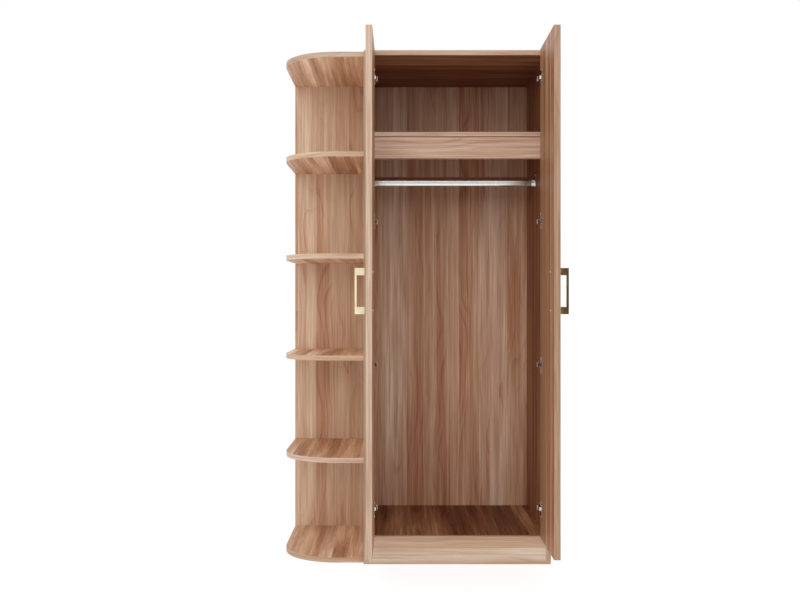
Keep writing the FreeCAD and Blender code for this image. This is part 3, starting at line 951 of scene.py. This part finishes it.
@dataclass
class Door:
    """Door with its handle."""

    side: Side
    wood: WoodFinish
    inner: WoodFinish
    lip: WoodFinish
    gold: bpy.types.Material
    nickel: bpy.types.Material
    recess: bpy.types.Material
    left_shift: float = 21.0
    right_shift: float = 24.3
    handle_edge: float = 0.6 * MILLIMETRE
    screw_radius: float = 4.0 * MILLIMETRE
    screw_height: float = 2.5 * MILLIMETRE
    shank_radius: float = 2.0 * MILLIMETRE
    shank_length: float = 36.85 * MILLIMETRE

    def dress(self) -> None:
        """Dresses the door, its handle and the handle's screws."""
        shift = self.left_shift if self.side is Side.LEFT else self.right_shift
        node = self.side.prefix + "door"
        board = Board(node, Axis.Z, Axis.Y, Axis.Z, (Axis.Y, Axis.Z), self.side.facing)
        board.dress(self.wood, self.lip, shift, self.inner)
        soften(assign(self.side.prefix + "handle", self.gold), self.handle_edge)
        self._handle_screws()

    def _handle_screws(self) -> None:
        """Puts cross-head screws in the place of the handle's plain ones."""
        prefix = self.side.prefix
        low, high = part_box(prefix + "handle_screws")
        facing = self.side.facing
        face_x = self.side.inner(*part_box(prefix + "door"))
        levels = (low.z + self.screw_radius, high.z - self.screw_radius)
        places = [(Vector((face_x, (low.y + high.y) / 2, level)), facing) for level in levels]
        screw = CrossScrew(self.screw_radius, self.screw_height, self.nickel, self.recess,
                           self.shank_radius, self.shank_length)
        piece = screw.build(prefix + "handle_cross_screws", prefix + "door", places)
        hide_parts(prefix + "handle_screws")


@dataclass
class HangingRail:
    """Oval hanging rail with its sockets and screws."""

    chrome: bpy.types.Material
    satin: bpy.types.Material
    nickel: bpy.types.Material
    recess: bpy.types.Material
    socket_edge: float = 0.5 * MILLIMETRE
    plate_thickness: float = 3.0 * MILLIMETRE
    screw_radius: float = 3.75 * MILLIMETRE
    screw_height: float = 2.0 * MILLIMETRE
    shank_radius: float = 2.0 * MILLIMETRE
    shank_length: float = 14.7 * MILLIMETRE

    def dress(self) -> None:
        """Dresses the rail, its sockets and their screws."""
        assign("hanging_rail", self.chrome)
        soften(assign("rail_sockets", self.satin), self.socket_edge)
        self._socket_screws()

    def _socket_screws(self) -> None:
        """Puts cross-head screws in the place of the sockets' plain ones."""
        node = "rail_socket_screws"
        middle = sum(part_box(node), Vector()) / 2
        places = []
        for side in Side:
            face_x = side.outer(*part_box("rail_sockets")) + side.value * self.plate_thickness
            places.append((Vector((face_x, middle.y, middle.z)), side.facing))
        screw = CrossScrew(self.screw_radius, self.screw_height, self.nickel, self.recess,
                           self.shank_radius, self.shank_length)
        piece = screw.build("rail_socket_cross_screws", "carcass", places)
        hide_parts(node)


@dataclass(frozen=True)
class Card:
    """Upright cloth card that only reflections see."""

    name: str
    low: Point
    high: Point
    cloth: Colour

    def build(self) -> None:
        """Builds the card, which stands between its two corners."""
        (x0, y0, z0), (x1, y1, z1) = self.low, self.high
        mesh = bpy.data.meshes.new(self.name)
        mesh.from_pydata([(x0, y0, z0), (x1, y1, z0), (x1, y1, z1), (x0, y0, z1)], [], [(0, 1, 2, 3)])
        material = bpy.data.materials.new(self.name + "_cloth")
        graph = Graph(material)
        cloth = graph.add("ShaderNodeBsdfDiffuse")
        graph.feed(cloth.inputs["Color"], self.cloth)
        output = graph.add("ShaderNodeOutputMaterial")
        graph.feed(output.inputs["Surface"], cloth.outputs[0])
        mesh.materials.append(material)
        card = bpy.data.objects.new(self.name, mesh)
        for ray in ("camera", "diffuse", "transmission", "volume_scatter", "shadow"):
            setattr(card, "visible_" + ray, False)
        bpy.context.scene.collection.objects.link(card)


@dataclass
class Studio:
    """Plain white studio with soft light all round, and cards for the metal to reflect."""

    floor_size: float = 24.0
    floor_drop: float = 0.2 * MILLIMETRE
    floor_paint: Colour = (0.28, 0.28, 0.28)
    floor_bounce: float = 0.68
    floor_white: float = 0.82
    sky_strength: float = 0.86
    key_size: float = 3.0
    key_power: float = 60.0
    key_place: Point = (-0.5, -4.6, 3.0)
    key_aim: Point = (0.0, 0.0, 0.9)
    cards: tuple[Card, ...] = (
        Card("brown_card", (0.61, -1.5, 0.0), (2.2, -1.5, 1.8), (0.105, 0.052, 0.010)),
        Card("grey_card", (-0.27, -2.9, 0.0), (0.75, -2.9, 1.3), (0.70, 0.70, 0.70)),
        Card("shade_card", (-3.0, -2.9, 0.2), (-0.42, -2.9, 1.7), DARK_CLOTH),
        Card("left_card", (-6.0, -2.0, 0.0), (-6.0, -11.0, 2.4), DARK_CLOTH),
        Card("right_card", (6.0, -2.0, 0.0), (6.0, -11.0, 2.4), DARK_CLOTH))

    def build(self) -> None:
        """Builds the world, the floor, the lamp and the cards that metal reflects."""
        self._world()
        self._floor()
        self._key()
        for card in self.cards:
            card.build()

    def _background_share(self, graph: Graph) -> Socket:
        """Finds the rays that see the background.

        Args:
            graph: Graph to build in.

        Returns:
            One for camera, glossy and transmission rays, and zero for the rest.
        """
        path = graph.add("ShaderNodeLightPath")
        seen = graph.math("MAXIMUM", path.outputs["Is Camera Ray"], path.outputs["Is Glossy Ray"])
        return graph.math("MAXIMUM", seen, path.outputs["Is Transmission Ray"])

    def _world(self) -> None:
        """Builds the white sky."""
        world = bpy.data.worlds.new("studio")
        bpy.context.scene.world = world
        graph = Graph(world)
        strength = graph.spread(self._background_share(graph), 0.0, 1.0, self.sky_strength, 1.0)
        sky = graph.add("ShaderNodeBackground")
        graph.feed(sky.inputs["Color"], WHITE)
        graph.feed(sky.inputs["Strength"], strength)
        output = graph.add("ShaderNodeOutputWorld")
        graph.feed(output.inputs["Surface"], sky.outputs[0])

    def _floor(self) -> None:
        """Builds the pale floor, which keeps a light shadow."""
        half = self.floor_size / 2
        corners = [(-half, -half), (half, -half), (half, half), (-half, half)]
        mesh = bpy.data.meshes.new("floor")
        mesh.from_pydata([(x, y, -self.floor_drop) for x, y in corners], [], [(0, 1, 2, 3)])
        material = bpy.data.materials.new("pale_floor")
        graph = Graph(material)
        paint = graph.add("ShaderNodeBsdfDiffuse")
        graph.feed(paint.inputs["Color"], self.floor_paint)
        glow = graph.add("ShaderNodeEmission")
        graph.feed(glow.inputs["Color"], WHITE)
        share = self._background_share(graph)
        strength = graph.spread(share, 0.0, 1.0, self.floor_bounce, self.floor_white)
        graph.feed(glow.inputs["Strength"], strength)
        seen = graph.add("ShaderNodeAddShader")
        graph.feed(seen.inputs[0], paint.outputs[0])
        graph.feed(seen.inputs[1], glow.outputs[0])
        output = graph.add("ShaderNodeOutputMaterial")
        graph.feed(output.inputs["Surface"], seen.outputs[0])
        mesh.materials.append(material)
        floor = bpy.data.objects.new("floor", mesh)
        bpy.context.scene.collection.objects.link(floor)

    def _key(self) -> None:
        """Builds a large soft lamp above and to the left of the camera."""
        lamp = bpy.data.lights.new("key", "AREA")
        lamp.size = self.key_size
        lamp.energy = self.key_power
        key = bpy.data.objects.new("key", lamp)
        key.location = self.key_place
        aim = Vector(self.key_aim) - key.location
        key.rotation_euler = aim.to_track_quat("-Z", "Y").to_euler()
        key.visible_glossy = False
        bpy.context.scene.collection.objects.link(key)


@dataclass
class PhotoCamera:
    """Camera that looks straight along the cabinet's depth, as in the photograph."""

    focal_length: float = 46.3
    sensor_width: float = 36.0
    image_width: float = 800.0
    metres_per_pixel: float = 3.5 * MILLIMETRE
    height: float = 925 * MILLIMETRE
    from_left_panel: float = 127.4 * MILLIMETRE

    def build(self) -> None:
        """Builds the camera and makes it the scene's own."""
        lens = bpy.data.cameras.new("photo_camera")
        lens.lens = self.focal_length
        lens.sensor_width = self.sensor_width
        lens.sensor_fit = "HORIZONTAL"
        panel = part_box("left_side_panel")
        distance = self.focal_length / self.sensor_width * self.image_width * self.metres_per_pixel
        camera = bpy.data.objects.new("photo_camera", lens)
        camera.location = (panel[0].x + self.from_left_panel, panel[0].y - distance, self.height)
        camera.rotation_euler = (math.pi / 2, 0.0, 0.0)
        bpy.context.scene.collection.objects.link(camera)
        bpy.context.scene.camera = camera


def main() -> None:
    """Builds the wardrobe's looks in order."""
    logging.basicConfig(level=logging.INFO, format="%(name)s: %(message)s")
    bpy.context.scene.view_settings.view_transform = "Standard"
    wood = WoodFinish()
    outside = replace(wood.tinted((0.75, 0.74, 0.74)), band_strength=0.7)
    front = replace(wood.tinted((0.84, 0.86, 0.90)), band_strength=0.5, ring_strength=0.36, streak_red=0.25)
    pale = replace(wood.tinted((0.765, 0.735, 0.715)), band_strength=0.15, ring_strength=0.25,
                   streak_red=0.12, fibre_tones=(0.93, 1.08))
    back = wood.tinted((0.985, 0.905, 0.845))
    # Inner faces are darker and redder than the outside: partly the wood's deeper tone, partly painted shade
    # of the cabinet's inside.
    inner = replace(wood.tinted((0.58, 0.385, 0.285)), band_strength=0.95, ring_strength=0.85,
                    streak_tones=(0.86, 1.12), fibre_tones=(0.80, 1.18), gloss=0.1)
    # The cabinet floor is darker still: partly the wood's tone, partly painted shade on the floor inside the
    # cabinet.
    floor = replace(inner, light=(0.510, 0.270, 0.138), middle=(0.345, 0.150, 0.065),
                    olive=(0.222, 0.090, 0.039), red=(0.160, 0.045, 0.016), flame=(0.070, 0.015, 0.005))
    # Door inner faces are darker and redder than the outside: partly the wood's tone, partly painted shade.
    door_inside_with_painted_shade = wood.tinted((0.725, 0.565, 0.45))
    # Corner shelves are lighter than the plain wood: partly painted light on the open corner unit.
    level = replace(wood.tinted((1.17, 1.11, 1.03)), band_strength=0.95, red=(0.425, 0.208, 0.108), gloss=0.2)
    # The corner back's front face is lighter and cooler than the cabinet's back: partly painted light.
    corner = replace(wood.tinted((1.06, 1.12, 1.15)), strips_per_metre=16.0, ring_strength=0.55,
                     lines_across=26.0, rings=8.0, band_strength=0.70, streak_red=0.22,
                     fibre_tones=(0.92, 1.09))
    lip = replace(wood.tinted((0.735, 0.715, 0.720)), strips_per_metre=2.0, band_strength=0.08,
                  ring_strength=0.2, streak_tones=(0.98, 1.03), streak_red=0.1, seam_strength=0.0,
                  band_width=0.6 * MILLIMETRE)
    chrome = MetalFinish("polished_chrome", (0.85, 0.83, 0.81), 0.17, brush_strength=0.4).material()
    satin = MetalFinish("satin_chrome", (0.58, 0.555, 0.545), 0.22).material()
    nickel = MetalFinish("satin_nickel", (0.74, 0.71, 0.66), 0.14, Axis.Y).material()
    recess = MetalFinish("shadowed_recess", (0.10, 0.10, 0.10), 0.6).material()
    gold = MetalFinish("brushed_gold", (1.00, 0.87, 0.61), 0.09, brush_strength=0.04,
                       tarnish=(0.42, 0.28, 0.12)).material()
    Carcass(wood, outside, front, pale, back, inner, floor, lip).dress()
    # Corner edge bands are lighter than the cabinet's: partly painted light on the open corner unit's edges.
    corner_lip = replace(lip.tinted((1.15, 1.17, 1.18)), wraps=True)
    CornerUnit(corner, back, level, corner_lip).dress()
    HangingRail(chrome, satin, nickel, recess).dress()
    # The right door's edge band is darker than the left's: painted shade.
    edges = {Side.LEFT: lip, Side.RIGHT: lip.tinted((0.86, 0.79, 0.75))}
    for side in Side:
        Door(side, outside, door_inside_with_painted_shade, edges[side], gold, nickel, recess).dress()
        HingeSet(side, nickel, recess).dress()
    Studio().build()
    PhotoCamera().build()


if __name__ == "__main__":
    main()
